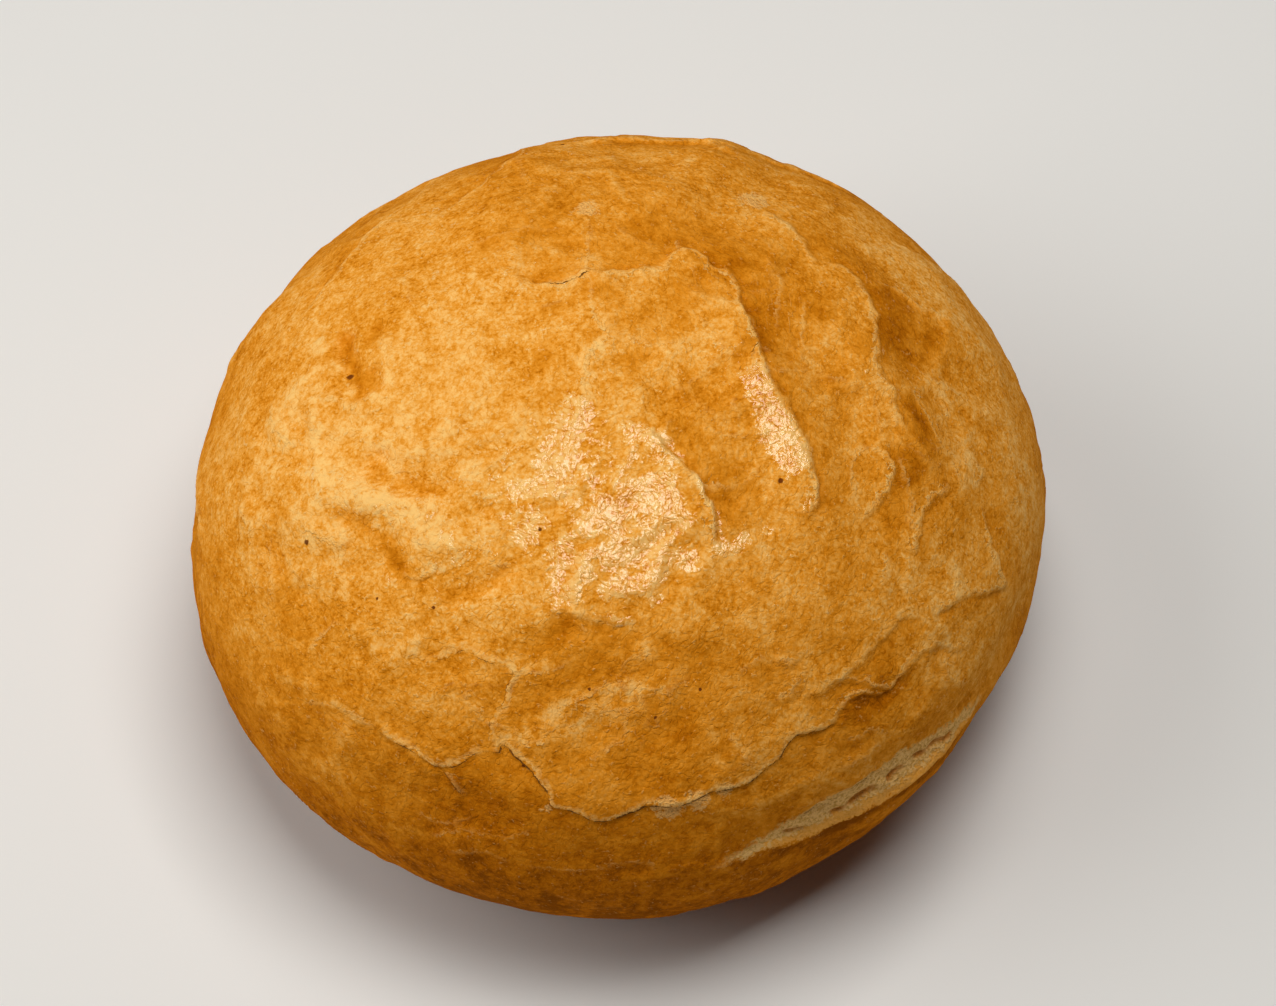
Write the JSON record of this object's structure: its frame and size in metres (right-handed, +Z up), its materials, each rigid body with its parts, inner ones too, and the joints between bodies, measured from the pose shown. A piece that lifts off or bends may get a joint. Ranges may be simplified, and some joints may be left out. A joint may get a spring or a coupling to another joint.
{
  "type": "bread roll",
  "caption": "Round crusty bread roll, whole, with a glossy folded golden skin, a burst seam low on one side and a flat underside.",
  "frame": {"origin": "centre of the roll's footprint, on the surface it rests on", "axes": "+Z up from the flat underside to the crown, +X along the widest way across, +Y away from the side with the plate-shaped crack"},
  "size_m": [0.0946, 0.0922, 0.0563],
  "materials": {
    "crust": "golden baked crust, satin with glossy patches"
  },
  "bodies": {
    "root": {"roll": "crust"}
  },
  "joints": []
}
